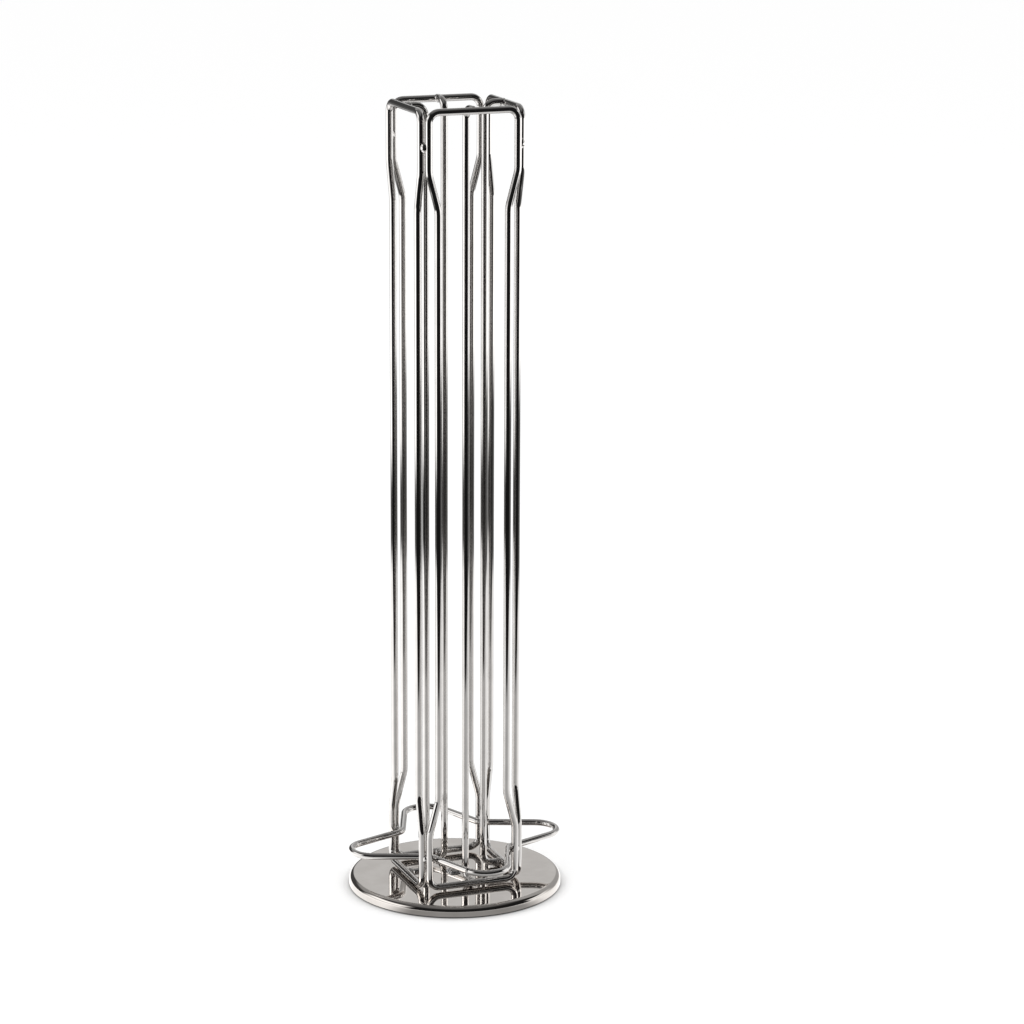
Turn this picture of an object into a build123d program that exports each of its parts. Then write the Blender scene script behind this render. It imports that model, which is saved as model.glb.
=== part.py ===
from build123d import *
import math
import os

# Turning tower that holds coffee capsules in four upright columns. A cage of bent
# wire is welded to a pressed dish, and the dish turns on a rivet over a fixed base.
# Lengths are millimetres. The origin is the middle of the underside, +Z is up,
# and the four faces of the cage look along -Y, +X, +Y and -X.

# Capsules that the cage is made for
RIM_DIA = 37.1
RIMS_PER_COLUMN = 10
STACK_SLACK = 1.9

# Wires
FRAME_WIRE_DIA = 3.4
GUIDE_WIRE_DIA = 3.4
RING_WIRE_DIA = 3.2

# Side frames
WIDE_GAP = 40.6
NARROW_GAP = 31.4
CORNER_WIRE_GAP = 0.7
RAIL_CORNER_RADIUS = 5.0
KINK_RADIUS = 15.0
KINK_HEIGHT = 17.2
OUTLET_HEIGHT = 27.0
LOADING_HEIGHT = 28.4
RAIL_DISH_GAP = 0.6

# Guide wires
SLOT_DEPTH = 6.6
GUIDE_BEND_RADIUS = 5.0
TOP_FOOT_RISE = 0.4

# Outlet ring
RING_HEIGHT = 16.6
RING_REACH = 52.8
RING_TIP_RADIUS = 11.0
RING_NOTCH_RADIUS = 6.0
RING_SIDE_GAP = 0.1

# Weld beads
WELD_SEAM = 0.01
TOP_WELD_DROP = 16.2
TOP_WELD_RADIUS = 1.75
TOP_WELD_LENGTH = 5.0
RING_WELD_RADIUS = 2.7
RING_WELD_INSET = 0.7
FOOT_WELD_RADIUS = 2.2
FOOT_WELD_INSET = 0.5
DISH_WELD_RADIUS = 2.3
DISH_WELD_RISE = 1.0

# Turntable dish
DISH_DIA = 104.0
DISH_HEIGHT = 5.5
DISH_SHEET = 0.8
DISH_SHOULDER_RADIUS = 2.8
SKIRT_TABLE_GAP = 0.5
SKIRT_EDGE_RADIUS = 0.3

# Pivot
RIVET_DIA = 4.0
RIVET_HEAD_DIA = 6.4
RIVET_HEAD_HEIGHT = 1.3
RIVET_HEAD_EDGE = 0.3
RIVET_TAIL_DIA = 6.4
RIVET_TAIL_HEIGHT = 0.5
BUSH_WALL = 1.0
BUSH_FLANGE_DIA = 8.6
BUSH_FLANGE_HEIGHT = 0.5
BUSH_EDGE_RADIUS = 0.15
TURN_GAP = 0.05
HEAD_GAP = 0.1
WASHER_DIA = 16.0
WASHER_HOLE_GAP = 0.05
CLAMP_WASHER_DIA = 10.0
CLAMP_WASHER_HEIGHT = 0.5

# Fixed base
BASE_SKIRT_GAP = 1.4
BASE_SHEET = 1.0
ANTI_SLIP_HEIGHT = 1.3
ANTI_SLIP_WIDTH = 8.0
ANTI_SLIP_INSET = 0.6
ANTI_SLIP_EDGE_RADIUS = 0.3
GLIDE_WIDTH = 5.0
GLIDE_INSET = 6.0
GLIDE_GAP = 0.1
GLIDE_EDGE_RADIUS = 0.4

# One overrun for every cut that goes right through
CUT_OVERRUN = 2.0

FACES = ("front", "right", "back", "left")
QUARTER_TURN = 360 / len(FACES)

# Places across the cage, measured from the turning axis
frame_wire_radius = FRAME_WIRE_DIA / 2
guide_wire_radius = GUIDE_WIRE_DIA / 2
ring_wire_radius = RING_WIRE_DIA / 2
wide_half = (WIDE_GAP + FRAME_WIRE_DIA) / 2
narrow_half = (NARROW_GAP + FRAME_WIRE_DIA) / 2
face_distance = wide_half + (FRAME_WIRE_DIA + CORNER_WIRE_GAP) / math.sqrt(2)
guide_distance = face_distance - frame_wire_radius - SLOT_DEPTH - guide_wire_radius
corner_middle = (wide_half + face_distance) / 2

# Heights, from the table up
dish_underside = DISH_HEIGHT - DISH_SHEET
bottom_rail_z = DISH_HEIGHT + RAIL_DISH_GAP + frame_wire_radius
bottom_foot_z = bottom_rail_z
top_foot_z = bottom_foot_z + GUIDE_WIRE_DIA + RIM_DIA * RIMS_PER_COLUMN + STACK_SLACK
top_rail_z = top_foot_z - TOP_FOOT_RISE
ring_z = DISH_HEIGHT + RING_HEIGHT
top_weld_z = top_rail_z - TOP_WELD_DROP
base_bottom = ANTI_SLIP_HEIGHT
base_top = base_bottom + BASE_SHEET
bush_top = DISH_HEIGHT + BUSH_FLANGE_HEIGHT
head_bottom = bush_top + HEAD_GAP
bush_bore_radius = RIVET_DIA / 2 + TURN_GAP
bush_radius = bush_bore_radius + BUSH_WALL
base_radius = DISH_DIA / 2 - DISH_SHEET - BASE_SKIRT_GAP


def tube_along(path, start, direction, diameter):
    """Round wire of the given diameter along a path."""
    section = Plane(origin=start, z_dir=direction) * Circle(diameter / 2)
    return sweep(section, path=path)


def on_face(shape, index):
    """The shape turned from the front to face number index, anticlockwise."""
    return Rot(0, 0, QUARTER_TURN * index) * shape


def ring_solid(outer_radius, inner_radius, bottom, height):
    """Flat ring round the turning axis."""
    ring = Cylinder(outer_radius, height, align=(Align.CENTER, Align.CENTER, Align.MIN))
    hole = Cylinder(
        inner_radius, height + 2 * CUT_OVERRUN, align=(Align.CENTER, Align.CENTER, Align.MIN)
    )
    return Pos(0, 0, bottom) * (ring - Pos(0, 0, -CUT_OVERRUN) * hole)


def rod_x(radius, half_length, y, z):
    """Round rod along X."""
    return Pos(0, y, z) * Rot(0, 90, 0) * Cylinder(radius, 2 * half_length)


def rod_y(radius, y_from, y_to, z):
    """Round rod along Y, between two places."""
    return Pos(0, (y_from + y_to) / 2, z) * Rot(90, 0, 0) * Cylinder(radius, abs(y_to - y_from))


def side_frame():
    """Front side frame: one closed loop, kinked in to hold the capsules by their rims."""
    outlet_top = bottom_rail_z + OUTLET_HEIGHT
    loading_foot = top_rail_z - LOADING_HEIGHT
    right_side = [
        (wide_half, bottom_rail_z),
        (wide_half, outlet_top),
        (narrow_half, outlet_top + KINK_HEIGHT),
        (narrow_half, loading_foot - KINK_HEIGHT),
        (wide_half, loading_foot),
        (wide_half, top_rail_z),
    ]
    left_side = [(-x, z) for x, z in reversed(right_side)]
    radii = [RAIL_CORNER_RADIUS] + 4 * [KINK_RADIUS] + [RAIL_CORNER_RADIUS]
    points = [(x, -face_distance, z) for x, z in right_side + left_side]
    path = FilletPolyline(*points, radius=radii + radii, close=True).wire()
    start = path.edges()[0] @ 0
    direction = path.edges()[0] % 0
    return tube_along(path, start, direction, FRAME_WIRE_DIA)


def guide_wire():
    """Front guide wire: upright inside the cage, its ends bent out and coped to the rails."""
    ends = -face_distance
    points = [
        (0, ends, bottom_foot_z),
        (0, -guide_distance, bottom_foot_z),
        (0, -guide_distance, top_foot_z),
        (0, ends, top_foot_z),
    ]
    path = FilletPolyline(*points, radius=GUIDE_BEND_RADIUS).wire()
    wire = tube_along(path, points[0], (0, 1, 0), GUIDE_WIRE_DIA)
    cope = frame_wire_radius + WELD_SEAM
    for rail_z in (bottom_rail_z, top_rail_z):
        wire -= rod_x(cope, guide_wire_radius + CUT_OVERRUN, -face_distance, rail_z)
    return wire


def ring_side_line():
    """Where a side of a lobe touches its tip arc, and the side's angle to the lobe's axis.

    The side is tangent to the tip arc and passes the corner wire of the frame at
    RING_SIDE_GAP from it, so it crosses the line between the two centres.
    """
    tip_centre = RING_REACH - RING_TIP_RADIUS
    passing_radius = frame_wire_radius + ring_wire_radius + RING_SIDE_GAP
    run_out = tip_centre - face_distance
    spacing = math.hypot(wide_half, run_out)
    centre_line_angle = math.atan2(wide_half, run_out)
    cross_angle = math.asin((RING_TIP_RADIUS + passing_radius) / spacing)
    return tip_centre, centre_line_angle - cross_angle


def outlet_ring():
    """Closed wire with four lobes, which pass inside the corners of the cage."""
    tip_centre, angle = ring_side_line()
    apex = tip_centre + RING_TIP_RADIUS / math.sin(angle)
    notch = apex * math.tan(angle) / (1 + math.tan(angle))
    points = []
    for index in range(len(FACES)):
        turn = math.radians(QUARTER_TURN * index)
        for x, y in ((0, -apex), (notch, -notch)):
            turned_x = x * math.cos(turn) - y * math.sin(turn)
            turned_y = x * math.sin(turn) + y * math.cos(turn)
            points.append((turned_x, turned_y, ring_z))
    radii = [RING_TIP_RADIUS, RING_NOTCH_RADIUS] * len(FACES)
    path = FilletPolyline(*points, radius=radii, close=True).wire()
    start = path.edges()[0] @ 0
    direction = path.edges()[0] % 0
    return tube_along(path, start, direction, RING_WIRE_DIA)


def corner_wires(z, half_height):
    """The two upright wires of the front right corner, a seam larger than they are."""
    rod = Cylinder(frame_wire_radius + WELD_SEAM, 2 * half_height)
    first = Pos(wide_half, -face_distance, z) * rod
    second = Pos(face_distance, -wide_half, z) * rod
    return first + second


def top_corner_weld():
    """Long bead between the two wires of the front right corner, under the top rails."""
    middle = TOP_WELD_LENGTH / 2 - TOP_WELD_RADIUS
    bead = Cylinder(TOP_WELD_RADIUS, 2 * middle)
    bead += Pos(0, 0, middle) * Sphere(TOP_WELD_RADIUS)
    bead += Pos(0, 0, -middle) * Sphere(TOP_WELD_RADIUS)
    placed = Pos(corner_middle, -corner_middle, top_weld_z) * bead
    return placed - corner_wires(top_weld_z, TOP_WELD_LENGTH / 2 + CUT_OVERRUN)


def ring_weld(ring):
    """Round bead that joins the ring to the two wires of the front right corner."""
    middle = corner_middle - RING_WELD_INSET
    bead = Pos(middle, -middle, ring_z) * Sphere(RING_WELD_RADIUS)
    bead -= corner_wires(ring_z, RING_WELD_RADIUS + CUT_OVERRUN)
    return bead - ring


def foot_collar(rail_z, foot_z):
    """Bead round a foot of the front guide wire, where it meets the rail."""
    seat = -face_distance + frame_wire_radius + FOOT_WELD_INSET
    return Pos(0, seat, (rail_z + foot_z) / 2) * Sphere(FOOT_WELD_RADIUS)


def cut_for_foot(bead, rail_z, foot_z):
    """The bead less the rail and the foot that it joins."""
    reach = frame_wire_radius + FOOT_WELD_INSET + FOOT_WELD_RADIUS + CUT_OVERRUN
    bead -= rod_x(frame_wire_radius + WELD_SEAM, reach, -face_distance, rail_z)
    foot = rod_y(guide_wire_radius + WELD_SEAM, -face_distance, -face_distance + reach, foot_z)
    return bead - foot


def top_foot_weld():
    """Bead at the middle of the front top rail."""
    return cut_for_foot(foot_collar(top_rail_z, top_foot_z), top_rail_z, top_foot_z)


def bottom_foot_weld():
    """Bead that joins the front bottom rail, the foot of the guide wire and the dish."""
    bead = foot_collar(bottom_rail_z, bottom_foot_z)
    dish_bead_z = DISH_HEIGHT + DISH_WELD_RISE
    bead += Pos(0, -face_distance, dish_bead_z) * Sphere(DISH_WELD_RADIUS)
    under = Box(DISH_DIA, DISH_DIA, DISH_DIA, align=(Align.CENTER, Align.CENTER, Align.MAX))
    bead -= Pos(0, 0, DISH_HEIGHT) * under
    return cut_for_foot(bead, bottom_rail_z, bottom_foot_z)


def four_of(shape):
    """One copy of the shape at each face or corner."""
    return Compound(children=[Part(on_face(shape, index).wrapped) for index in range(len(FACES))])


def turntable_dish():
    """Pressed sheet with a flat top, a round shoulder and a short skirt."""
    outer = DISH_DIA / 2
    inner = outer - DISH_SHEET
    shoulder_start = outer - DISH_SHOULDER_RADIUS
    shoulder_foot = DISH_HEIGHT - DISH_SHOULDER_RADIUS
    mid_share = math.sqrt(0.5)
    inner_bend = DISH_SHOULDER_RADIUS - DISH_SHEET
    outer_rise = DISH_SHOULDER_RADIUS * mid_share
    inner_rise = inner_bend * mid_share
    outer_mid = (shoulder_start + outer_rise, shoulder_foot + outer_rise)
    inner_mid = (shoulder_start + inner_rise, shoulder_foot + inner_rise)
    with BuildPart() as dish:
        with BuildSketch(Plane.XZ) as profile:
            with BuildLine():
                Line((bush_radius, DISH_HEIGHT), (shoulder_start, DISH_HEIGHT))
                ThreePointArc((shoulder_start, DISH_HEIGHT), outer_mid, (outer, shoulder_foot))
                Line((outer, shoulder_foot), (outer, SKIRT_TABLE_GAP))
                Line((outer, SKIRT_TABLE_GAP), (inner, SKIRT_TABLE_GAP))
                Line((inner, SKIRT_TABLE_GAP), (inner, shoulder_foot))
                ThreePointArc((inner, shoulder_foot), inner_mid, (shoulder_start, dish_underside))
                Line((shoulder_start, dish_underside), (bush_radius, dish_underside))
                Line((bush_radius, dish_underside), (bush_radius, DISH_HEIGHT))
            make_face()
            fillet(profile.vertices().group_by(Axis.Y)[0], SKIRT_EDGE_RADIUS)
        revolve(axis=Axis.Z)
    return dish.part


def pivot_bush():
    """Flanged bush pressed into the dish; the rivet runs in its bore."""
    sleeve = ring_solid(bush_radius, bush_bore_radius, dish_underside, DISH_SHEET)
    flange = ring_solid(BUSH_FLANGE_DIA / 2, bush_bore_radius, DISH_HEIGHT, BUSH_FLANGE_HEIGHT)
    rim = flange.edges().group_by(Axis.Z)[-1].sort_by(SortBy.RADIUS)[-1]
    return sleeve + fillet(rim, BUSH_EDGE_RADIUS)


def pivot_rivet():
    """Rivet with a domed head over the bush and a formed tail under the base plate."""
    head_radius = RIVET_HEAD_DIA / 2
    head_edge_top = head_bottom + RIVET_HEAD_EDGE
    head_top = head_bottom + RIVET_HEAD_HEIGHT
    tail_top = base_bottom - CLAMP_WASHER_HEIGHT
    tail_bottom = tail_top - RIVET_TAIL_HEIGHT
    shank = RIVET_DIA / 2
    tail = RIVET_TAIL_DIA / 2
    with BuildPart() as rivet:
        with BuildSketch(Plane.XZ):
            with BuildLine():
                Line((0, tail_bottom), (tail, tail_bottom))
                Line((tail, tail_bottom), (tail, tail_top))
                Line((tail, tail_top), (shank, tail_top))
                Line((shank, tail_top), (shank, head_bottom))
                Line((shank, head_bottom), (head_radius, head_bottom))
                Line((head_radius, head_bottom), (head_radius, head_edge_top))
                TangentArc((0, head_top), (head_radius, head_edge_top), tangent=(1, 0))
                Line((0, head_top), (0, tail_bottom))
            make_face()
        revolve(axis=Axis.Z)
    return rivet.part


def thrust_washer():
    """Washer round the rivet, which carries the middle of the dish."""
    height = dish_underside - base_top - GLIDE_GAP
    return ring_solid(WASHER_DIA / 2, RIVET_DIA / 2 + WASHER_HOLE_GAP, base_top, height)


def clamp_washer():
    """Washer under the base plate, below which the rivet's tail is formed."""
    bottom = base_bottom - CLAMP_WASHER_HEIGHT
    hole = RIVET_DIA / 2 + WASHER_HOLE_GAP
    return ring_solid(CLAMP_WASHER_DIA / 2, hole, bottom, CLAMP_WASHER_HEIGHT)


def base_plate():
    """Fixed round plate under the dish."""
    return ring_solid(base_radius, RIVET_DIA / 2 + WASHER_HOLE_GAP, base_bottom, BASE_SHEET)


def glide_ring():
    """Ring on the base plate near its rim, which carries the dish against tipping."""
    outer = base_radius - GLIDE_INSET
    height = dish_underside - base_top - GLIDE_GAP
    ring = ring_solid(outer, outer - GLIDE_WIDTH, base_top, height)
    return fillet(ring.edges().group_by(Axis.Z)[-1], GLIDE_EDGE_RADIUS)


def anti_slip_ring():
    """Soft ring under the base plate, on which the whole object stands."""
    outer = base_radius - ANTI_SLIP_INSET
    ring = ring_solid(outer, outer - ANTI_SLIP_WIDTH, 0, ANTI_SLIP_HEIGHT)
    return fillet(ring.edges().group_by(Axis.Z)[0], ANTI_SLIP_EDGE_RADIUS)


def all_parts():
    """Every node's name and shape."""
    frame = side_frame()
    guide = guide_wire()
    ring = outlet_ring()
    parts = {
        "base_plate": base_plate(),
        "anti_slip_ring": anti_slip_ring(),
        "glide_ring": glide_ring(),
        "thrust_washer": thrust_washer(),
        "clamp_washer": clamp_washer(),
        "pivot_rivet": pivot_rivet(),
        "pivot_bush": pivot_bush(),
        "turntable_dish": turntable_dish(),
        "outlet_ring": ring,
        "corner_welds_top": four_of(top_corner_weld()),
        "corner_welds_ring": four_of(ring_weld(ring)),
        "foot_welds_top": four_of(top_foot_weld()),
        "foot_welds_bottom": four_of(bottom_foot_weld()),
    }
    for index, face in enumerate(FACES):
        parts["side_frame_" + face] = on_face(frame, index)
        parts["guide_wire_" + face] = on_face(guide, index)
    return parts


os.makedirs("parts", exist_ok=True)
for name, shape in all_parts().items():
    export_step(shape, "parts/" + name + ".step")
    print(name, round(shape.volume, 1), shape.is_valid)
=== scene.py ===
"""Wire tower: a cage of bent chrome wire welded to a pressed dish that turns on a fixed base.

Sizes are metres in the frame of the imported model: +Z up, the front face of the cage along -Y.
"""

import logging
import math
from abc import ABC, abstractmethod
from dataclasses import dataclass, field
from enum import Enum
from typing import Any, Sequence

import bmesh
import bpy
from mathutils import Matrix, Vector, noise


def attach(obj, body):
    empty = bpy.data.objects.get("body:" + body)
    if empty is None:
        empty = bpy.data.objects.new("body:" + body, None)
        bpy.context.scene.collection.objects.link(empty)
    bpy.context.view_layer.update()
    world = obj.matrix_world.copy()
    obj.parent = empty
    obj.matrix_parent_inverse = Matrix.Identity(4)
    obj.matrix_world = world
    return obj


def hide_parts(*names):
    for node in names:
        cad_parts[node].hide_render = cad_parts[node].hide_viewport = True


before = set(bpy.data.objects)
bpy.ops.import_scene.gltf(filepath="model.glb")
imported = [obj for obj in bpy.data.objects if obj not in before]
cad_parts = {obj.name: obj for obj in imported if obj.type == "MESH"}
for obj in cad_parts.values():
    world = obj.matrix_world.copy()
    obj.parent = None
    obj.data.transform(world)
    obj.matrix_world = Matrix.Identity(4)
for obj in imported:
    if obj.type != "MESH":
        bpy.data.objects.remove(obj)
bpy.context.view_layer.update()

log = logging.getLogger("wire_tower")

MM = 0.001
MERGE = 1e-7
ROUND_PROFILE = 0.5
WIRE_PLACE = "wire_place"

Triple = tuple[float, float, float]
Socket = bpy.types.NodeSocket
Ring = list[bmesh.types.BMEdge]


class Face(Enum):
    """The four faces of the cage, by their quarter turns from the front."""

    FRONT = 0
    RIGHT = 1
    BACK = 2
    LEFT = 3

    @property
    def turn(self) -> Matrix:
        """Turn that takes the front face to this one."""
        return Matrix.Rotation(math.radians(90 * self.value), 4, "Z")

    @property
    def word(self) -> str:
        """The face's name as the nodes write it."""
        return self.name.lower()


class Body(Enum):
    """The two bodies of the tower."""

    BASE = "base"
    CAROUSEL = "carousel"


@dataclass(frozen=True)
class Grain:
    """Noise of one size: cells in a metre, octaves, and the weight of the finer ones."""

    scale: float
    detail: float = 2.0
    roughness: float = 0.5


@dataclass(frozen=True)
class Step:
    """Smooth step: where it starts and ends, and the levels before and after it."""

    low: float
    high: float
    to_low: float = 0.0
    to_high: float = 1.0


@dataclass(frozen=True)
class Window:
    """Stretch of a value that counts, with a soft start and a soft end."""

    start_low: float
    start_high: float
    end_low: float
    end_high: float


class Graph:
    """Node tree written in short calls."""

    # Socket numbers of a Mix node
    FACTOR = 0
    NUMBERS = (2, 3)
    COLOURS = (6, 7)
    COLOUR_OUT = 2

    def __init__(self, tree: bpy.types.NodeTree) -> None:
        """Empties the tree.

        Args:
            tree: The node tree to write.
        """
        self.tree = tree
        tree.nodes.clear()

    def plug(self, node: bpy.types.Node, sockets: dict[Any, Any]) -> None:
        """Fills a node's inputs.

        Args:
            node: The node.
            sockets: Input name or number to a value, or to an output that is linked to it.
        """
        for name, value in sockets.items():
            if isinstance(value, Socket):
                self.tree.links.new(value, node.inputs[name])
            else:
                node.inputs[name].default_value = value

    def add(self, kind: str, sockets: dict[Any, Any] | None = None, **settings: Any) -> bpy.types.Node:
        """Adds a node.

        Args:
            kind: The node's type name.
            sockets: What fills its inputs.
            **settings: Properties of the node.

        Returns:
            The node.
        """
        node = self.tree.nodes.new(kind)
        for name, value in settings.items():
            setattr(node, name, value)
        self.plug(node, sockets or {})
        return node

    def math(self, operation: str, *values: Any) -> Socket:
        """Result of a Math node.

        Args:
            operation: The node's operation.
            *values: Numbers or outputs.

        Returns:
            The node's output.
        """
        return self.add("ShaderNodeMath", dict(enumerate(values)), operation=operation).outputs[0]

    def total(self, first: Any, *others: Any) -> Socket:
        """Sum of numbers and outputs.

        Args:
            first: The first of them.
            *others: What is added to it, in turn.

        Returns:
            The sum.
        """
        for other in others:
            first = self.math("ADD", first, other)
        return first

    def product(self, first: Any, *others: Any) -> Socket:
        """Product of numbers and outputs.

        Args:
            first: The first of them.
            *others: What it is multiplied by, in turn.

        Returns:
            The product.
        """
        for other in others:
            first = self.math("MULTIPLY", first, other)
        return first

    def span(self, value: Any, step: Step) -> Socket:
        """Smooth step from one level to another.

        Args:
            value: The output that is read.
            step: The step.

        Returns:
            The stepped value.
        """
        sockets = {
            "Value": value, "From Min": step.low, "From Max": step.high,
            "To Min": step.to_low, "To Max": step.to_high,
        }
        return self.add("ShaderNodeMapRange", sockets, interpolation_type="SMOOTHSTEP").outputs["Result"]

    def window(self, value: Any, window: Window) -> Socket:
        """Share from 0 to 1 by which a value lies in a window.

        Args:
            value: The output that is read.
            window: The window.

        Returns:
            The share.
        """
        rise = self.span(value, Step(window.start_low, window.start_high))
        fall = self.span(value, Step(window.end_low, window.end_high, 1.0, 0.0))
        return self.product(rise, fall)

    def blend(self, first: Any, second: Any, share: Any) -> Socket:
        """Mix of two numbers.

        Args:
            first: The number at a share of 0.
            second: The number at a share of 1.
            share: How much of the second.

        Returns:
            The mixed number.
        """
        low, high = self.NUMBERS
        sockets = {self.FACTOR: share, low: first, high: second}
        return self.add("ShaderNodeMix", sockets, data_type="FLOAT").outputs[0]

    def colours(self, first: Triple, second: Triple, share: Any) -> Socket:
        """Mix of two colours.

        Args:
            first: The colour at a share of 0.
            second: The colour at a share of 1.
            share: How much of the second.

        Returns:
            The mixed colour.
        """
        low, high = self.COLOURS
        sockets = {self.FACTOR: share, low: (*first, 1.0), high: (*second, 1.0)}
        return self.add("ShaderNodeMix", sockets, data_type="RGBA").outputs[self.COLOUR_OUT]

    def noise(self, where: Any, grain: Grain) -> Socket:
        """Noise value.

        Args:
            where: The coordinates that are read.
            grain: The noise's size.

        Returns:
            The value, about 0.5 on the mean.
        """
        sockets = {
            "Vector": where, "Scale": grain.scale, "Detail": grain.detail, "Roughness": grain.roughness,
        }
        return self.add("ShaderNodeTexNoise", sockets).outputs["Fac"]

    def bump(self, height: Any, depth: float, under: Any = None) -> Socket:
        """Fine relief.

        Args:
            height: The relief's height, from 0 to 1.
            depth: What a height of 1 measures.
            under: The relief that it lies on, if any.

        Returns:
            The normal.
        """
        sockets = {"Height": height, "Distance": depth}
        if under is not None:
            sockets["Normal"] = under
        return self.add("ShaderNodeBump", sockets).outputs[0]


@dataclass(frozen=True)
class Finish(ABC):
    """A surface finish that makes one procedural material."""

    name: str
    slot: str

    def material(self) -> bpy.types.Material:
        """The finish's material, made on its first use.

        Returns:
            The material.
        """
        made = bpy.data.materials.get(self.name)
        if made is None:
            made = bpy.data.materials.new(self.name)
            made.use_nodes = True
            graph = Graph(made.node_tree)
            shader = graph.add("ShaderNodeBsdfPrincipled")
            self.write(graph, shader)
            graph.add("ShaderNodeOutputMaterial", {"Surface": shader.outputs[0]})
        return made

    @abstractmethod
    def write(self, graph: Graph, shader: bpy.types.Node) -> None:
        """Writes the finish.

        Args:
            graph: The material's nodes.
            shader: Its surface shader.
        """


@dataclass(frozen=True)
class ChromePlate(Finish):
    """Bright chrome over metal, with slight ripple, haze and dust-fine pits."""

    along_wire: bool = False
    bright: Triple = (0.597, 0.580, 0.565)
    dull: Triple = (0.542, 0.525, 0.510)
    patches: Grain = Grain(75.0, detail=3.0, roughness=0.55)
    patch_edge: Step = Step(0.35, 0.7)
    polish: float = 0.035
    haze: float = 0.055
    haze_from: float = 0.3
    haze_to: float = 0.75
    pits: Grain = Grain(1500.0)
    pit_edge: Step = Step(0.66, 0.78)
    pit_haze: float = 0.07
    ripple: Grain = Grain(320.0, detail=1.0)
    ripple_depth: float = 0.0022 * MM
    lines: Grain = Grain(4200.0)
    drawn_lines: Grain = Grain(5200.0)
    line_stretch: Triple = (1.0, 1.0, 0.03)
    line_depth: float = 0.0003 * MM

    def write(self, graph: Graph, shader: bpy.types.Node) -> None:
        """Writes tone, haze and relief.

        Args:
            graph: The material's nodes.
            shader: Its surface shader.
        """
        if self.along_wire:
            place = graph.add("ShaderNodeAttribute", attribute_name=WIRE_PLACE).outputs["Vector"]
            drawn = graph.add("ShaderNodeMapping", {"Vector": place, "Scale": self.line_stretch})
            lines = graph.noise(drawn.outputs["Vector"], self.drawn_lines)
        else:
            place = graph.add("ShaderNodeTexCoord").outputs["Object"]
            lines = graph.noise(place, self.lines)
        patches = graph.noise(place, self.patches)
        hazed = graph.span(patches, Step(self.haze_from, self.haze_to, self.polish, self.haze))
        pits = graph.span(graph.noise(place, self.pits), self.pit_edge)
        waves = graph.bump(graph.noise(place, self.ripple), self.ripple_depth)
        graph.plug(shader, {
            "Metallic": 1.0,
            "Base Color": graph.colours(self.bright, self.dull, graph.span(patches, self.patch_edge)),
            "Roughness": graph.total(hazed, graph.product(pits, self.pit_haze)),
            "Normal": graph.bump(lines, self.line_depth, waves),
        })


@dataclass(frozen=True)
class MetalSheet(Finish):
    """Plain or zinc-plated steel, with turning or rolling marks."""

    light: Triple = (0.46, 0.46, 0.47)
    dark: Triple = (0.33, 0.34, 0.35)
    smooth: float = 0.28
    rough: float = 0.46
    rough_from: float = 0.3
    rough_to: float = 0.7
    spangle: float = 160.0
    spangle_strength: float = 0.8
    marks: Grain = Grain(1400.0, detail=3.0)
    mark_depth: float = 0.012 * MM

    def write(self, graph: Graph, shader: bpy.types.Node) -> None:
        """Writes mottled tone and fine marks.

        Args:
            graph: The material's nodes.
            shader: Its surface shader.
        """
        place = graph.add("ShaderNodeTexCoord").outputs["Object"]
        cells = graph.add("ShaderNodeTexVoronoi", {"Vector": place, "Scale": self.spangle})
        mottle = graph.add("ShaderNodeRGBToBW", {0: cells.outputs["Color"]}).outputs[0]
        marks = graph.noise(place, self.marks)
        graph.plug(shader, {
            "Metallic": 1.0,
            "Base Color": graph.colours(self.light, self.dark, graph.product(mottle, self.spangle_strength)),
            "Roughness": graph.span(marks, Step(self.rough_from, self.rough_to, self.smooth, self.rough)),
            "Normal": graph.bump(marks, self.mark_depth),
        })


@dataclass(frozen=True)
class Moulding(Finish):
    """Moulded nylon or rubber, with a fine moulded grain."""

    clean: Triple = (0.74, 0.72, 0.64)
    worn: Triple = (0.64, 0.62, 0.55)
    smooth: float = 0.38
    rough: float = 0.55
    rough_from: float = 0.3
    rough_to: float = 0.7
    patches: Grain = Grain(60.0, detail=3.0)
    patch_edge: Step = Step(0.35, 0.7)
    grain: Grain = Grain(900.0, detail=3.0)
    grain_depth: float = 0.03 * MM

    def write(self, graph: Graph, shader: bpy.types.Node) -> None:
        """Writes tone, rubbed patches and grain.

        Args:
            graph: The material's nodes.
            shader: Its surface shader.
        """
        place = graph.add("ShaderNodeTexCoord").outputs["Object"]
        patches = graph.span(graph.noise(place, self.patches), self.patch_edge)
        grain = graph.noise(place, self.grain)
        graph.plug(shader, {
            "Base Color": graph.colours(self.clean, self.worn, patches),
            "Roughness": graph.span(grain, Step(self.rough_from, self.rough_to, self.smooth, self.rough)),
            "Normal": graph.bump(grain, self.grain_depth),
        })


WIRE_CHROME = ChromePlate("wire_chrome_finish", "wire_chrome", along_wire=True)
WELD_CHROME = ChromePlate(
    "weld_chrome_finish", "weld_chrome", polish=0.06, haze=0.12,
    ripple=Grain(900.0, detail=1.0), ripple_depth=0.04 * MM,
)
DISH_CHROME = ChromePlate(
    "dish_chrome_finish", "dish_chrome", bright=(0.610, 0.577, 0.547), dull=(0.556, 0.524, 0.494),
    polish=0.02, haze=0.035, ripple=Grain(60.0, detail=1.0), ripple_depth=0.004 * MM,
)
RIVET_CHROME = ChromePlate(
    "rivet_chrome_finish", "rivet_chrome", polish=0.06, haze=0.14, ripple=Grain(700.0, detail=1.0),
)
BUSH_STEEL = MetalSheet("bush_steel_finish", "bush_steel", spangle=600.0, smooth=0.2, rough=0.34)
ZINC_STEEL = MetalSheet("zinc_steel_finish", "zinc_steel")
WHITE_NYLON = Moulding("white_nylon_finish", "white_nylon")
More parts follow.
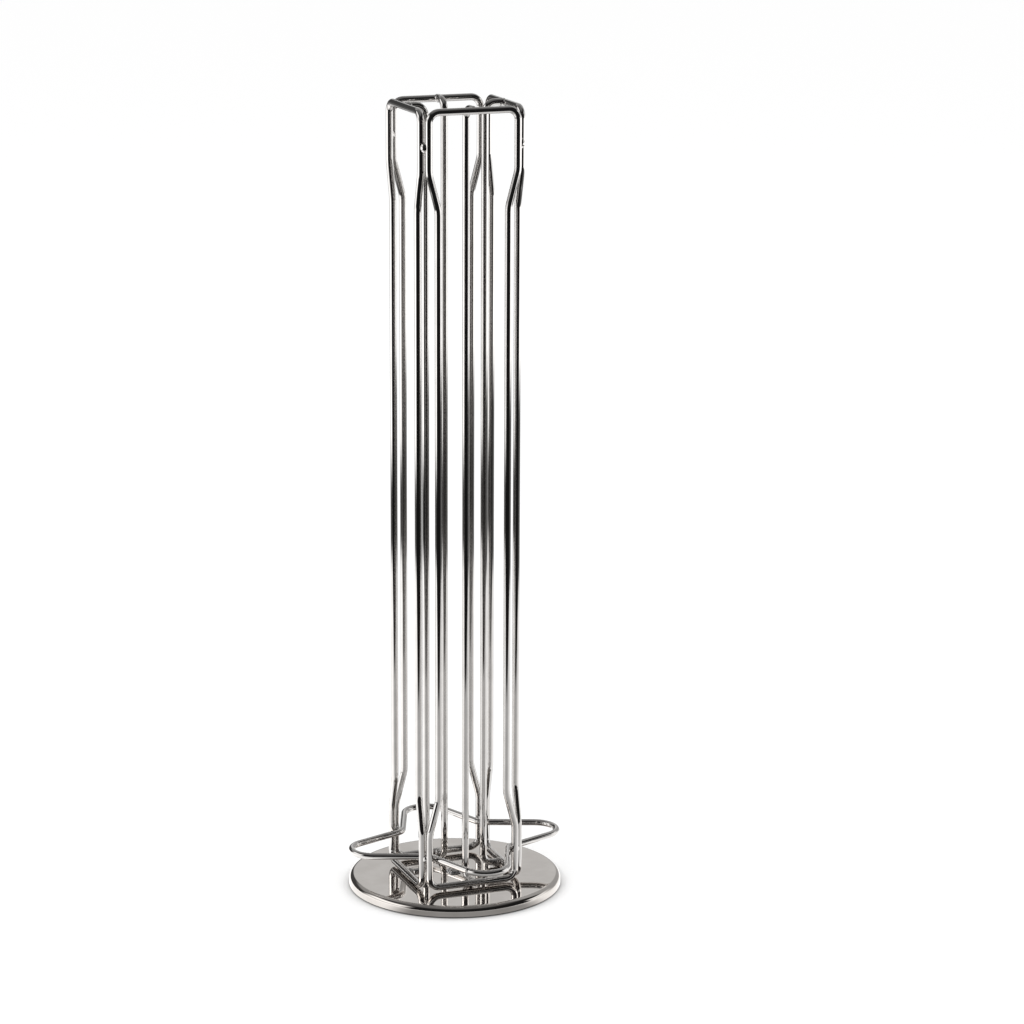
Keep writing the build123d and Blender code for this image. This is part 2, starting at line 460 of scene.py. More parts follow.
BLACK_RUBBER = Moulding(
    "black_rubber_finish", "black_rubber", clean=(0.018, 0.018, 0.019), worn=(0.035, 0.034, 0.033),
    smooth=0.6, rough=0.8, grain=Grain(700.0, detail=3.0), grain_depth=0.08 * MM,
)


def add_piece(
    name: str, mesh: bmesh.types.BMesh, finish: Finish, body: Body, nodes: Sequence[str],
) -> None:
    """Turns a finished mesh into a piece of the tower.

    Args:
        name: The piece's name.
        mesh: Its mesh, in place; it is freed.
        finish: Its surface.
        body: The body that it rides on.
        nodes: The CAD nodes that it stands for.
    """
    bmesh.ops.recalc_face_normals(mesh, faces=mesh.faces)
    for face in mesh.faces:
        face.smooth = True
    data = bpy.data.meshes.new(name)
    mesh.to_mesh(data)
    mesh.free()
    piece = bpy.data.objects.new(name, data)
    bpy.context.scene.collection.objects.link(piece)
    data.materials.append(finish.material())
    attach(piece, body.value)
    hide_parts(*nodes)
    log.info("%s: %d faces, %s", name, len(data.polygons), finish.name)


def dress_node(node: str, finish: Finish) -> None:
    """Gives a CAD node its finish.

    Args:
        node: The node's name.
        finish: Its surface.
    """
    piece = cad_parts[node]
    piece.data.materials.clear()
    piece.data.materials.append(finish.material())
    log.info("%s: CAD node, %s", node, finish.name)


@dataclass
class WireBender:
    """Forms round wire as a bending machine does, run by run and bend by bend."""

    diameter: float
    sides: int = 24
    run_step: float = 10 * MM
    bend_step: float = math.radians(9)
    least_bend_steps: int = 2
    end_facets: int = 3
    seam: float = 0.4 * MM
    mesh: bmesh.types.BMesh = field(default_factory=bmesh.new)
    fed: float = 0.0

    def start(self, point: Vector, along: Vector) -> Ring:
        """Sets the first ring.

        Args:
            point: Its centre.
            along: The direction of feed.

        Returns:
            The ring's edges.
        """
        place = self.mesh.verts.layers.float_vector.new(WIRE_PLACE)
        verts = bmesh.ops.create_circle(
            self.mesh, cap_ends=False, radius=self.diameter / 2, segments=self.sides,
        )["verts"]
        for vert in verts:
            vert[place] = vert.co.copy()
        aim = Matrix.Translation(point) @ along.to_track_quat("Z", "Y").to_matrix().to_4x4()
        bmesh.ops.transform(self.mesh, matrix=aim, verts=verts)
        return list(self.mesh.edges)

    def feed(self, ring: Ring, move: Matrix, length: float) -> Ring:
        """Draws the wire on by one ring.

        Args:
            ring: The last ring's edges.
            move: What takes it to the next.
            length: The length of wire between them.

        Returns:
            The new ring's edges.
        """
        place = self.mesh.verts.layers.float_vector[WIRE_PLACE]
        drawn = bmesh.ops.extrude_edge_only(self.mesh, edges=ring)["geom"]
        verts = [part for part in drawn if isinstance(part, bmesh.types.BMVert)]
        bmesh.ops.transform(self.mesh, matrix=move, verts=verts)
        self.fed += length
        for vert in verts:
            vert[place] = Vector((vert[place].x, vert[place].y, self.fed))
        new = set(verts)
        return [part for part in drawn if isinstance(part, bmesh.types.BMEdge) and set(part.verts) <= new]

    def run(self, ring: Ring, way: Vector) -> Ring:
        """Feeds a straight run.

        Args:
            ring: The last ring's edges.
            way: The run, as a vector.

        Returns:
            The new ring's edges.
        """
        steps = max(1, math.ceil(way.length / self.run_step))
        for _ in range(steps):
            ring = self.feed(ring, Matrix.Translation(way / steps), way.length / steps)
        return ring

    def bend(self, ring: Ring, centre: Vector, axis: Vector, angle: float, radius: float) -> Ring:
        """Feeds a bend.

        Args:
            ring: The last ring's edges.
            centre: The bend's centre.
            axis: What it turns about.
            angle: How far it turns.
            radius: Its radius on the wire's centre line.

        Returns:
            The new ring's edges.
        """
        steps = max(self.least_bend_steps, math.ceil(angle / self.bend_step))
        turn = Matrix.Rotation(angle / steps, 4, axis)
        move = Matrix.Translation(centre) @ turn @ Matrix.Translation(-centre)
        for _ in range(steps):
            ring = self.feed(ring, move, radius * angle / steps)
        return ring

    def corner(
        self, ring: Ring, here: Vector, before: Vector, point: Vector, after: Vector, radius: float,
    ) -> tuple[Ring, Vector]:
        """Feeds the run up to a corner and the bend round it.

        Args:
            ring: The last ring's edges.
            here: Its centre.
            before: The corner before.
            point: The corner.
            after: The corner after.
            radius: The bend's radius.

        Returns:
            The new ring's edges and its centre.
        """
        way_in = (point - before).normalized()
        way_out = (after - point).normalized()
        angle = way_in.angle(way_out)
        cut = radius * math.tan(angle / 2)
        bend_start = point - way_in * cut
        ring = self.run(ring, bend_start - here)
        axis = way_in.cross(way_out).normalized()
        centre = bend_start + axis.cross(way_in) * radius
        return self.bend(ring, centre, axis, angle, radius), point + way_out * cut

    def closed(self, corners: Sequence[Vector], radii: Sequence[float]) -> bmesh.types.BMesh:
        """Forms a closed loop, butt-welded in the middle of its last run.

        Args:
            corners: The sharp corners of its centre line.
            radii: The bend's radius at each.

        Returns:
            The wire's mesh.
        """
        count = len(corners)
        first = (corners[-1] + corners[0]) / 2
        along = (corners[0] - corners[-1]).normalized()
        ring = self.start(first, along)
        here = first
        for index, (point, radius) in enumerate(zip(corners, radii)):
            before, after = corners[index - 1], corners[(index + 1) % count]
            ring, here = self.corner(ring, here, before, point, after, radius)
        ring = self.run(ring, first - along * self.seam - here)
        self.run(ring, along * self.seam)
        bmesh.ops.remove_doubles(self.mesh, verts=self.mesh.verts, dist=MERGE)
        return self.mesh

    def open(self, corners: Sequence[Vector], radii: Sequence[float], end_round: float) -> bmesh.types.BMesh:
        """Forms an open length with rounded ends.

        Args:
            corners: The ends and the sharp corners between them.
            radii: The bend's radius at each corner.
            end_round: The radius of the ends' edges.

        Returns:
            The wire's mesh.
        """
        first = self.start(corners[0], (corners[1] - corners[0]).normalized())
        ring, here = first, corners[0]
        for index, radius in enumerate(radii, start=1):
            before, point, after = corners[index - 1:index + 2]
            ring, here = self.corner(ring, here, before, point, after, radius)
        last = self.run(ring, corners[-1] - here)
        for rim in (first, last):
            bmesh.ops.contextual_create(self.mesh, geom=rim)
        bmesh.ops.bevel(
            self.mesh, geom=first + last, offset=end_round, offset_type="OFFSET", segments=self.end_facets,
            profile=ROUND_PROFILE, affect="EDGES", material=-1,
        )
        return self.mesh


@dataclass(frozen=True)
class Corner:
    """One corner of a turned profile."""

    radius: float
    height: float
    rounding: float = 0.0


@dataclass(frozen=True)
class Lathe:
    """Turns profiles about the tower's axis."""

    steps: int
    facets: int
    hold: float = 0.25 * MM
    least_holds: float = 4.0

    def turn(self, corners: Sequence[Corner]) -> bmesh.types.BMesh:
        """Turns a profile into a closed solid.

        Args:
            corners: The profile, in order. It stays open where it starts and ends on the axis.

        Returns:
            The turned mesh.
        """
        mesh = bmesh.new()
        verts = [mesh.verts.new((corner.radius, 0.0, corner.height)) for corner in corners]
        closing = verts[1:] if corners[0].radius < MERGE else verts[1:] + verts[:1]
        for pair in zip(verts, closing):
            mesh.edges.new(pair)
        for vert, corner in zip(verts, corners):
            if corner.rounding > 0:
                bmesh.ops.bevel(
                    mesh, geom=[vert], offset=corner.rounding, offset_type="OFFSET", segments=self.facets,
                    profile=ROUND_PROFILE, affect="VERTICES", material=-1, clamp_overlap=True,
                )
        self.hold_edges(mesh)
        bmesh.ops.spin(
            mesh, geom=mesh.verts[:] + mesh.edges[:], cent=(0, 0, 0), axis=(0, 0, 1), dvec=(0, 0, 0),
            angle=math.tau, steps=self.steps, use_merge=True, use_normal_flip=False, use_duplicate=False,
        )
        bmesh.ops.remove_doubles(mesh, verts=mesh.verts, dist=MERGE)
        return mesh

    def hold_edges(self, mesh: bmesh.types.BMesh) -> None:
        """Adds points close to the ends of straight edges, which keep flats flat beside roundings.

        Args:
            mesh: The profile.
        """
        for edge in list(mesh.edges):
            length = edge.calc_length()
            if length > self.least_holds * self.hold:
                far = edge.other_vert(edge.verts[0])
                new_edge, _ = bmesh.utils.edge_split(edge, edge.verts[0], self.hold / length)
                rest = new_edge if far in new_edge.verts else edge
                bmesh.utils.edge_split(rest, far, self.hold / (length - self.hold))


DISH_LATHE = Lathe(steps=240, facets=14)
PLATE_LATHE = Lathe(steps=160, facets=4)
BUSH_LATHE = Lathe(steps=64, facets=4, hold=0.05 * MM)
RIVET_LATHE = Lathe(steps=64, facets=6, hold=0.05 * MM)


@dataclass(frozen=True)
class WeldBead:
    """Lump of weld metal, drawn out and slightly uneven. Its half widths are millimetres."""

    centre: Vector
    half_widths: Triple
    uneven: float = 0.12
    grain: float = 420.0
    subdivisions: int = 4

    def add_to(self, mesh: bmesh.types.BMesh, turn: Matrix) -> None:
        """Adds the bead at one face or corner.

        Args:
            mesh: The mesh that takes it.
            turn: What takes the front bead there.
        """
        radii = Vector(self.half_widths) * MM
        verts = bmesh.ops.create_icosphere(mesh, subdivisions=self.subdivisions, radius=1.0)["verts"]
        for vert in verts:
            rough = noise.noise((turn @ (self.centre + vert.co * radii)) * self.grain)
            vert.co *= 1.0 - self.uneven * (0.5 + 0.5 * rough)
        shape = turn @ Matrix.Translation(self.centre) @ Matrix.Diagonal(radii).to_4x4()
        bmesh.ops.transform(mesh, matrix=shape, verts=verts)


@dataclass
class WireCage:
    """Four side frames and four guide wires."""

    wire: float = 3.4 * MM
    face_distance: float = 24.899 * MM
    guide_distance: float = 14.899 * MM
    wide_half: float = 22.0 * MM
    narrow_half: float = 17.4 * MM
    bottom: float = 7.8 * MM
    top: float = 383.7 * MM
    foot_top: float = 384.1 * MM
    outlet_height: float = 27.0 * MM
    loading_height: float = 28.4 * MM
    kink_height: float = 17.2 * MM
    corner_radius: float = 5.0 * MM
    kink_radius: float = 15.0 * MM
    guide_bend: float = 5.0 * MM
    end_round: float = 0.5 * MM

    def frame_mesh(self) -> bmesh.types.BMesh:
        """The front side frame.

        Returns:
            Its mesh.
        """
        low, high = self.bottom + self.outlet_height, self.top - self.loading_height
        right = [
            (self.wide_half, self.bottom),
            (self.wide_half, low),
            (self.narrow_half, low + self.kink_height),
            (self.narrow_half, high - self.kink_height),
            (self.wide_half, high),
            (self.wide_half, self.top),
        ]
        outline = right + [(-x, z) for x, z in reversed(right)]
        corners = [Vector((x, -self.face_distance, z)) for x, z in outline]
        radii = [self.corner_radius] + 4 * [self.kink_radius] + [self.corner_radius]
        return WireBender(self.wire).closed(corners, radii + radii)

    def guide_mesh(self) -> bmesh.types.BMesh:
        """The front guide wire, its feet run into the rails.

        Returns:
            Its mesh.
        """
        out, inside = -self.face_distance, -self.guide_distance
        places = [(out, self.bottom), (inside, self.bottom), (inside, self.foot_top), (out, self.foot_top)]
        corners = [Vector((0.0, y, z)) for y, z in places]
        return WireBender(self.wire).open(corners, [self.guide_bend] * 2, self.end_round)

    def build(self) -> None:
        """Makes and dresses the eight wires."""
        for face in Face:
            for part, form in (("side_frame", self.frame_mesh), ("guide_wire", self.guide_mesh)):
                mesh = form()
                bmesh.ops.transform(mesh, matrix=face.turn, verts=mesh.verts)
                node = f"{part}_{face.word}"
                add_piece(node + "_wire", mesh, WIRE_CHROME, Body.CAROUSEL, [node])


@dataclass
class OutletRing:
    """Closed wire with a lobe in front of each outlet."""

    cage: WireCage
    wire: float = 3.2 * MM
    height: float = 22.1 * MM
    reach: float = 52.8 * MM
    tip_radius: float = 11.0 * MM
    notch_radius: float = 6.0 * MM
    side_gap: float = 0.1 * MM

    def build(self) -> None:
        """Makes and dresses the ring."""
        tip = self.reach - self.tip_radius
        across, out = self.cage.wide_half, tip - self.cage.face_distance
        passing = (self.cage.wire + self.wire) / 2 + self.side_gap
        angle = math.atan2(across, out) - math.asin((self.tip_radius + passing) / math.hypot(across, out))
        apex = tip + self.tip_radius / math.sin(angle)
        notch = apex * math.tan(angle) / (1 + math.tan(angle))
        corners = []
        for face in Face:
            corners.append(face.turn @ Vector((0.0, -apex, self.height)))
            corners.append(face.turn @ Vector((notch, -notch, self.height)))
        mesh = WireBender(self.wire).closed(corners, [self.tip_radius, self.notch_radius] * len(Face))
        add_piece("outlet_ring_wire", mesh, WIRE_CHROME, Body.CAROUSEL, ["outlet_ring"])


@dataclass
class Welds:
    """Weld beads of the cage, in four groups of four. The beads' half widths are millimetres."""

    cage: WireCage
    ring: OutletRing
    top_drop: float = 16.2 * MM
    top_outset: float = 0.3 * MM
    ring_inset: float = 0.7 * MM
    foot_inset: float = 0.3 * MM
    top_bead: Triple = (2.1, 2.1, 2.8)
    ring_bead: Triple = (2.6, 2.6, 2.6)
    foot_top_bead: Triple = (2.2, 2.1, 2.15)
    foot_bottom_bead: Triple = (2.3, 2.2, 2.2)

    def beads(self) -> dict[str, WeldBead]:
        """The front bead of each group, by its node.

        Returns:
            The beads.
        """
        cage = self.cage
        corner = (cage.wide_half + cage.face_distance) / 2
        outer, inner = corner + self.top_outset, corner - self.ring_inset
        seat = -cage.face_distance + cage.wire / 2 + self.foot_inset
        top_foot = (cage.top + cage.foot_top) / 2
        return {
            "corner_welds_top": WeldBead(Vector((outer, -outer, cage.top - self.top_drop)), self.top_bead),
            "corner_welds_ring": WeldBead(Vector((inner, -inner, self.ring.height)), self.ring_bead),
            "foot_welds_top": WeldBead(Vector((0.0, seat, top_foot)), self.foot_top_bead),
            "foot_welds_bottom": WeldBead(Vector((0.0, seat, cage.bottom)), self.foot_bottom_bead),
        }

    def build(self) -> None:
        """Makes and dresses the four groups."""
        for node, bead in self.beads().items():
            mesh = bmesh.new()
            for face in Face:
                bead.add_to(mesh, face.turn)
            add_piece(node + "_beads", mesh, WELD_CHROME, Body.CAROUSEL, [node])


@dataclass
class Turntable:
    """Pressed dish with its pivot bush."""

    radius: float = 52.0 * MM
    top: float = 5.5 * MM
    sheet: float = 0.8 * MM
    shoulder: float = 2.8 * MM
    skirt_bottom: float = 0.5 * MM
    skirt_edge: float = 0.3 * MM
    bush_radius: float = 3.05 * MM
    bush_bore: float = 2.05 * MM
    flange_radius: float = 4.3 * MM
    flange: float = 0.5 * MM
    flange_edge: float = 0.15 * MM

    def build(self) -> None:
        """Makes and dresses dish and bush."""
        inner, under = self.radius - self.sheet, self.top - self.sheet
        dish = DISH_LATHE.turn([
            Corner(self.bush_radius, self.top),
            Corner(self.radius, self.top, self.shoulder),
            Corner(self.radius, self.skirt_bottom, self.skirt_edge),
            Corner(inner, self.skirt_bottom, self.skirt_edge),
            Corner(inner, under, self.shoulder - self.sheet),
            Corner(self.bush_radius, under),
        ])
        add_piece("turntable_dish_sheet", dish, DISH_CHROME, Body.CAROUSEL, ["turntable_dish"])
        bush = BUSH_LATHE.turn([
            Corner(self.bush_bore, under),
            Corner(self.bush_bore, self.top + self.flange, self.flange_edge / 2),
            Corner(self.flange_radius, self.top + self.flange, self.flange_edge),
            Corner(self.flange_radius, self.top),
            Corner(self.bush_radius, self.top),
            Corner(self.bush_radius, under),
        ])
        add_piece("pivot_bush_flange", bush, BUSH_STEEL, Body.CAROUSEL, ["pivot_bush"])


@dataclass
class FixedBase:
    """Base plate, its rings and washers, and the rivet."""

    plate_radius: float = 49.8 * MM
    plate_bottom: float = 1.3 * MM
    plate_top: float = 2.3 * MM
    plate_top_edge: float = 0.2 * MM
    plate_bottom_edge: float = 0.4 * MM
    hole: float = 2.05 * MM
    pad_outer: float = 49.2 * MM
    pad_inner: float = 41.2 * MM
    pad_edge: float = 0.3 * MM
    rivet_radius: float = 2.0 * MM
    head_radius: float = 3.2 * MM
    head_bottom: float = 6.1 * MM
    head_edge: float = 6.4 * MM
    head_top: float = 7.4 * MM
    crown_share: float = 0.62
    crown_rounding: float = 0.9 * MM
    tail_bottom: float = 0.3 * MM
    tail_top: float = 0.8 * MM
    tail_rounding: float = 0.2 * MM
    seat_rounding: float = 0.1 * MM

    def build(self) -> None:
        """Makes and dresses the fixed pieces."""
        rivet = RIVET_LATHE.turn([
            Corner(0.0, self.tail_bottom),
            Corner(self.head_radius, self.tail_bottom, self.tail_rounding),
            Corner(self.head_radius, self.tail_top, self.seat_rounding),
            Corner(self.rivet_radius, self.tail_top),
            Corner(self.rivet_radius, self.head_bottom),
            Corner(self.head_radius, self.head_bottom, self.seat_rounding),
            Corner(self.head_radius, self.head_edge),
            Corner(self.head_radius * self.crown_share, self.head_top, self.crown_rounding),
            Corner(0.0, self.head_top),
        ])
        add_piece("pivot_rivet_turned", rivet, RIVET_CHROME, Body.BASE, ["pivot_rivet"])
        plate = PLATE_LATHE.turn([
            Corner(self.hole, self.plate_bottom),
            Corner(self.hole, self.plate_top),
            Corner(self.plate_radius, self.plate_top, self.plate_top_edge),
            Corner(self.plate_radius, self.plate_bottom, self.plate_bottom_edge),
        ])
        add_piece("base_plate_sheet", plate, ZINC_STEEL, Body.BASE, ["base_plate"])
        pad = PLATE_LATHE.turn([
            Corner(self.pad_inner, 0.0, self.pad_edge),
            Corner(self.pad_inner, self.plate_bottom),
            Corner(self.pad_outer, self.plate_bottom),
            Corner(self.pad_outer, 0.0, self.pad_edge),
        ])
        add_piece("anti_slip_ring_pad", pad, BLACK_RUBBER, Body.BASE, ["anti_slip_ring"])
        dress_node("glide_ring", WHITE_NYLON)
        dress_node("thrust_washer", WHITE_NYLON)
        dress_node("clamp_washer", ZINC_STEEL)


@dataclass(frozen=True)
class Sight:
    """Where metal looks: degrees right of the camera's side and off it, level distance, and height."""

    right: Socket
    off: Socket
    distance: Socket
    height: Socket


@dataclass(frozen=True)
class TableLight:
    """What metal sees of the floor: a lit table with a painted shadow round the dish's foot, a dark gap
    beyond it, and far lit sides.

    A step or window is read by bearing, but foot_shade_end and back_gap_light by distance, and the two
    blurs by the share of a reach.
    """

    near: float = 0.355
    side: float = 0.6
    left_extra: float = 0.05
    right_widens: tuple[float, float] = (12.0, 90.0)
    left_widens: tuple[float, float] = (-70.0, -12.0)
    edge_blur: Step = Step(0.93, 1.1, 1.0, 0.0)
    right_light: Step = Step(18.0, 120.0, 0.59, 1.5)
    left_light: Step = Step(-84.0, -8.0, 1.2, 0.0)
    back_light: float = 0.62
    back_start: Step = Step(130.0, 142.0)
    # The strip round the dish's foot is a painted shadow of the dish: dimmest in front, lighter towards the
    # sides.
    foot_shade_left: Step = Step(-47.0, -24.0, 1.05, 0.0)
    foot_shade_right: Step = Step(41.0, 67.0, 0.0, 1.05)
    foot_shade_least: float = 0.39
    foot_shade_end: Step = Step(0.06, 0.086)
    far_start: Step = Step(-10.0, 10.0, 0.95, 1.26)
    far_blur: Step = Step(0.87, 1.13)
    far_light: Step = Step(138.0, 156.0, 2.05, 0.95)
    left_side: Step = Step(-62.0, -48.0, 1.0, 0.0)
    right_side: Step = Step(58.0, 74.0)
    dark_corner: Window = Window(-164.0, -156.0, -132.0, -124.0)
    gap_light: Step = Step(45.0, 90.0, 0.012, 0.15)
    back_gap_start: Step = Step(105.0, 150.0)
    back_gap_light: Step = Step(1.1, 1.5, 0.4, 0.0)

    def seen(self, graph: Graph, sight: Sight) -> Socket:
        """Writes the floor's brightness.

        Args:
            graph: The nodes.
            sight: The place on the floor.

        Returns:
            The brightness.
        """
        beyond, on_table = self.beyond(graph, sight), self.on_table(graph, sight)
        return graph.blend(beyond, on_table, self.edge(graph, sight))

    def edge(self, graph: Graph, sight: Sight) -> Socket:
        """Writes how far the table reaches.

        Args:
            graph: The nodes.
            sight: The place on the floor.

        Returns:
            Share of the table, 1 on it and 0 beyond.
        """
        wider = self.side - self.near
        reach = graph.total(
            graph.span(sight.right, Step(*self.right_widens, 0.0, wider)),
            graph.span(sight.right, Step(*self.left_widens, wider + self.left_extra, 0.0)),
            self.near,
        )
        return graph.span(graph.math("DIVIDE", sight.distance, reach), self.edge_blur)

    def on_table(self, graph: Graph, sight: Sight) -> Socket:
        """Writes the light on the table, with a painted shadow in the strip round the dish's foot.

        Args:
            graph: The nodes.
            sight: The place on the floor.

        Returns:
            The brightness.
        """
        right = sight.right
        light = graph.total(graph.span(right, self.right_light), graph.span(right, self.left_light))
        light = graph.blend(light, self.back_light, graph.span(sight.off, self.back_start))
        # Painted shadow round the dish's foot, lighter at the sides than in front.
        beside = graph.total(graph.span(right, self.foot_shade_left), graph.span(right, self.foot_shade_right))
        foot = graph.total(beside, self.foot_shade_least)
        return graph.blend(foot, light, graph.span(sight.distance, self.foot_shade_end))

    def beyond(self, graph: Graph, sight: Sight) -> Socket:
        """Writes the light beyond the table: the gap, and what is lit past it.

        Args:
            graph: The nodes.
            sight: The place on the floor.

        Returns:
            The brightness.
        """
        right, off, distance = sight.right, sight.off, sight.distance
        far = graph.span(graph.math("DIVIDE", distance, graph.span(right, self.far_start)), self.far_blur)
        sides = graph.total(graph.span(right, self.left_side), graph.span(right, self.right_side))
        lit = graph.math("SUBTRACT", 1.0, graph.window(right, self.dark_corner))
        behind = graph.span(off, self.back_gap_start)
        back_gap = graph.product(behind, graph.span(distance, self.back_gap_light))
        gap = graph.total(graph.span(off, self.gap_light), back_gap)
        glow = graph.span(off, self.far_light)
        return graph.blend(gap, glow, graph.product(sides, lit, far))


@dataclass(frozen=True)
class RoomLight:
    """What metal sees of the room: two soft boxes, a dim backdrop and a dark camera side.

    Steps and windows up to 1 are read by height, the others by bearing.
    """

    camera_side: Step = Step(0.68, 0.97, 0.02, 0.26)
    right_backdrop: Step = Step(0.75, 0.97, 0.6, 0.26)
    right_backdrop_start: Step = Step(112.0, 126.0)
    left_backdrop: Step = Step(0.38, 0.5, 0.09, 0.5)
    left_backdrop_end: Step = Step(-128.0, -118.0, 1.0, 0.0)
    ceiling_light: float = 0.28
    ceiling_start: Step = Step(0.8, 0.9)
    card_light: float = 0.93
    card_start: Step = Step(166.0, 173.0)
    card_height: Window = Window(0.16, 0.24, 0.44, 0.52)
    left_box: Window = Window(-122.0, -104.0, -64.0, -46.0)
    left_box_top: Step = Step(0.52, 0.74, 1.0, 0.0)
    right_box: Window = Window(82.0, 94.0, 112.0, 134.0)
    right_box_top: Step = Step(0.36, 0.52, 1.0, 0.0)
    box_low: float = 1.3
    box_high: float = 2.2
    box_foot: Step = Step(0.06, 0.17, 1.0, 0.0)
    box_rise: Step = Step(0.26, 0.4)

    def seen(self, graph: Graph, sight: Sight) -> Socket:
        """Writes the room's brightness.

        Args:
            graph: The nodes.
            sight: The direction.

        Returns:
            The brightness.
        """
        right, height = sight.right, sight.height
        share = graph.total(graph.span(height, self.box_foot), graph.span(height, self.box_rise))
        box = graph.blend(self.box_low, self.box_high, share)
        left = graph.product(graph.window(right, self.left_box), graph.span(height, self.left_box_top))
        other = graph.product(graph.window(right, self.right_box), graph.span(height, self.right_box_top))
        return graph.blend(graph.blend(self.backdrop(graph, sight), box, left), box, other)

    def backdrop(self, graph: Graph, sight: Sight) -> Socket:
        """Writes the brightness of all but the soft boxes.

        Args:
            graph: The nodes.
            sight: The direction.

        Returns:
            The brightness.
        """
        right, height = sight.right, sight.height
        on_right = graph.span(right, self.right_backdrop_start)
        back = graph.blend(
            graph.span(height, self.camera_side), graph.span(height, self.right_backdrop), on_right,
        )
        ceiling = graph.span(height, self.ceiling_start)
        on_left = graph.blend(graph.span(height, self.left_backdrop), self.ceiling_light, ceiling)
        back = graph.blend(back, on_left, graph.span(right, self.left_backdrop_end))
        card = graph.product(graph.window(height, self.card_height), graph.span(sight.off, self.card_start))
        return graph.blend(back, self.card_light, card)


@dataclass(frozen=True)
class SoftLamp:
    """Square soft lamp."""

    name: str
    place: Triple
    size: float
    power: float

    def hang(self, aim: Triple) -> None:
        """Sets the lamp, seen neither by the eye nor in metal.

        Args:
            aim: The point that it lights.
        """
        data = bpy.data.lights.new(self.name, "AREA")
        data.size = self.size
        data.energy = self.power
        lamp = bpy.data.objects.new(self.name, data)
        lamp.location = self.place
        lamp.rotation_euler = (Vector(aim) - Vector(self.place)).to_track_quat("-Z", "Y").to_euler()
        lamp.visible_camera = False
        lamp.visible_glossy = False
        bpy.context.scene.collection.objects.link(lamp)


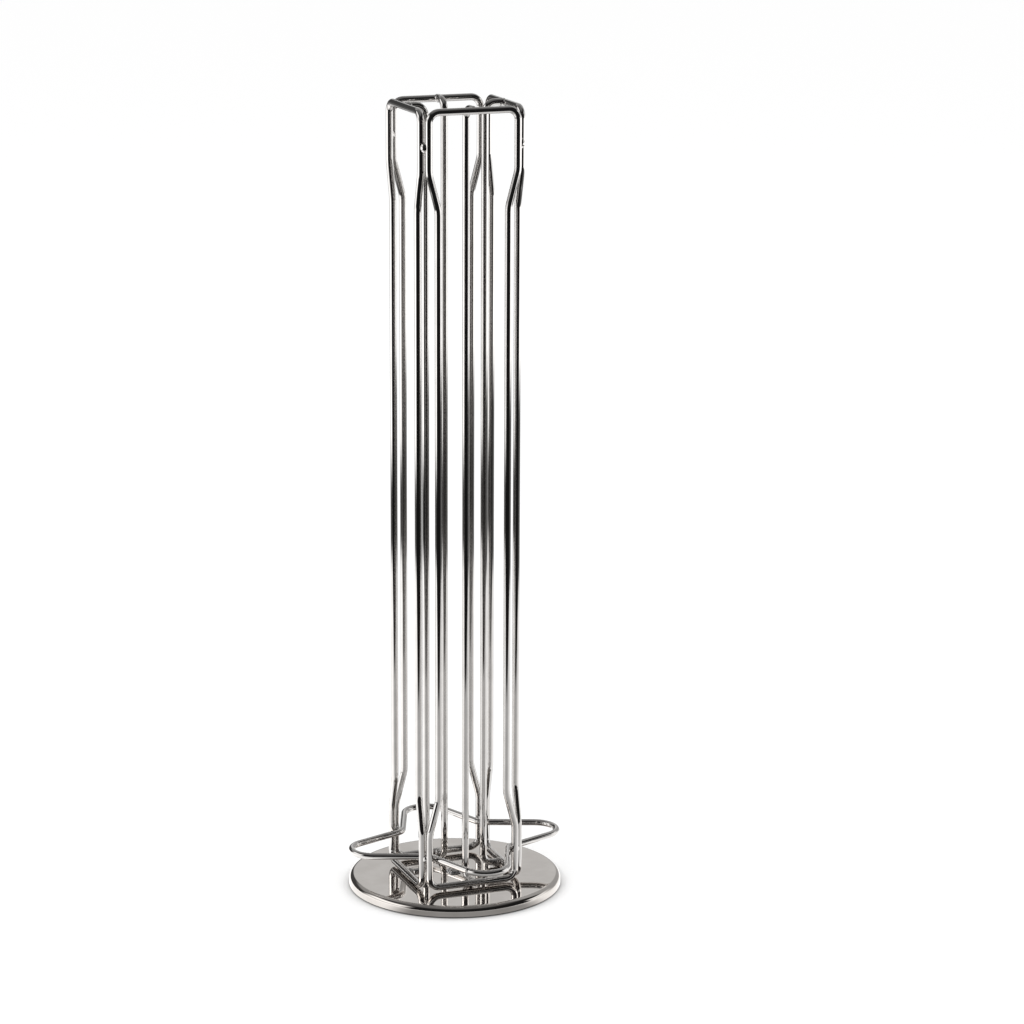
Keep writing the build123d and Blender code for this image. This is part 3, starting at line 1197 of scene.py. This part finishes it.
@dataclass
class Studio:
    """Pale floor with a painted contact shade round the dish's foot, plain soft light and camera of the
    photograph.

    At the room, Ray Depth is one more than the count of reflections, so second_look lifts what is
    seen of the room by a second reflection or a later one.
    """

    camera_place: Triple = (-0.568330, -1.544672, 0.591070)
    camera_turn: Triple = (76.22995, -0.24618, -21.0938)
    lens: float = 123.99
    sensor: float = 36.0
    sight_end: float = 60.0
    view_angle: float = -20.2
    floor_half: float = 14.0
    # Floor colour darkens from 0.88 to 0.2, and its glow falls to 0, in a thin ring under the dish's edge: a
    # painted contact shade.
    floor_tone_with_painted_shade: Step = Step(0.0508, 0.0532, 0.2, 0.88)
    floor_glow_with_painted_shade: Step = Step(0.052, 0.058, 0.0, 0.2)
    table: TableLight = TableLight()
    room: RoomLight = RoomLight()
    fill_light: float = 1.12
    second_look: Step = Step(2.2, 2.8, 1.0, 2.4)
    lamps: tuple[SoftLamp, ...] = (
        SoftLamp("left_soft_lamp", (-1.3, -0.6, 1.5), size=1.2, power=5.0),
        SoftLamp("right_soft_lamp", (1.4, -0.3, 1.2), size=1.0, power=3.0),
    )
    lamp_aim: Triple = (0.0, 0.0, 0.15)

    def set_camera(self) -> None:
        """Sets the camera."""
        data = bpy.data.cameras.new("studio_camera")
        data.lens = self.lens
        data.sensor_width = self.sensor
        data.clip_end = self.sight_end
        camera = bpy.data.objects.new("studio_camera", data)
        camera.location = self.camera_place
        camera.rotation_euler = [math.radians(angle) for angle in self.camera_turn]
        bpy.context.scene.collection.objects.link(camera)
        bpy.context.scene.camera = camera

    def sight(self, graph: Graph, where: Any) -> Sight:
        """Writes the polar place of a point or direction.

        Args:
            graph: The nodes.
            where: The point or direction.

        Returns:
            Its place as metal sees the studio.
        """
        turn = (0.0, 0.0, -math.radians(self.view_angle))
        turned = graph.add("ShaderNodeMapping", {"Vector": where, "Rotation": turn}).outputs["Vector"]
        across, deep, height = graph.add("ShaderNodeSeparateXYZ", {0: turned}).outputs
        angle = graph.math("ARCTAN2", across, graph.product(deep, -1.0))
        right = graph.product(angle, 180 / math.pi)
        square = graph.total(graph.math("POWER", across, 2.0), graph.math("POWER", deep, 2.0))
        return Sight(right, graph.math("ABSOLUTE", right), graph.math("SQRT", square), height)

    def set_floor(self) -> None:
        """Sets the floor: pale to the eye with a painted contact shade round the dish's foot, and to metal a
        lit table in a dark room.
        """
        mesh = bmesh.new()
        bmesh.ops.create_grid(mesh, x_segments=1, y_segments=1, size=self.floor_half)
        data = bpy.data.meshes.new("studio_floor")
        mesh.to_mesh(data)
        mesh.free()
        floor = bpy.data.objects.new("studio_floor", data)
        bpy.context.scene.collection.objects.link(floor)
        material = bpy.data.materials.new("studio_floor_tone_with_painted_shade")
        material.use_nodes = True
        self.write_floor(Graph(material.node_tree))
        data.materials.append(material)

    def write_floor(self, graph: Graph) -> None:
        """Writes the floor's material.

        Args:
            graph: Its nodes.
        """
        sight = self.sight(graph, graph.add("ShaderNodeTexCoord").outputs["Object"])
        mirror = graph.add("ShaderNodeEmission", {"Strength": self.table.seen(graph, sight)})
        # The colour and glow read here are darkened under the dish's edge, which paints a contact shade
        # there.
        paint = graph.add("ShaderNodeBsdfDiffuse", {"Color": graph.span(sight.distance, self.floor_tone_with_painted_shade)})
        glow = graph.add("ShaderNodeEmission", {"Strength": graph.span(sight.distance, self.floor_glow_with_painted_shade)})
        both = graph.add("ShaderNodeAddShader", {0: paint.outputs[0], 1: glow.outputs[0]})
        ray = graph.add("ShaderNodeLightPath").outputs
        eye = {0: ray["Is Camera Ray"], 1: paint.outputs[0], 2: both.outputs[0]}
        seen = graph.add("ShaderNodeMixShader", eye).outputs[0]
        metal = {0: ray["Is Glossy Ray"], 1: seen, 2: mirror.outputs[0]}
        final = graph.add("ShaderNodeMixShader", metal).outputs[0]
        graph.add("ShaderNodeOutputMaterial", {"Surface": final})

    def set_room(self) -> None:
        """Sets the room: white to the eye, and to metal soft boxes at the sides and a dark camera side."""
        world = bpy.data.worlds.new("studio_room")
        world.use_nodes = True
        bpy.context.scene.world = world
        graph = Graph(world.node_tree)
        sight = self.sight(graph, graph.add("ShaderNodeTexCoord").outputs["Generated"])
        ray = graph.add("ShaderNodeLightPath").outputs
        lift = graph.span(ray["Ray Depth"], self.second_look)
        metal = graph.product(self.room.seen(graph, sight), lift)
        level = graph.blend(self.fill_light, metal, ray["Is Glossy Ray"])
        strength = graph.blend(level, 1.0, ray["Is Camera Ray"])
        ground = graph.add("ShaderNodeBackground", {"Strength": strength})
        graph.add("ShaderNodeOutputWorld", {"Surface": ground.outputs[0]})

    def build(self) -> None:
        """Sets the whole studio."""
        self.set_camera()
        self.set_floor()
        self.set_room()
        for lamp in self.lamps:
            lamp.hang(self.lamp_aim)
        bpy.context.scene.view_settings.view_transform = "Standard"


def main() -> None:
    """Builds the tower and its studio."""
    logging.basicConfig(level=logging.INFO, format="%(name)s %(message)s")
    cage = WireCage()
    ring = OutletRing(cage)
    for part in (FixedBase(), Turntable(), cage, ring, Welds(cage, ring), Studio()):
        log.info("building %s", type(part).__name__)
        part.build()


if __name__ == "__main__":
    main()
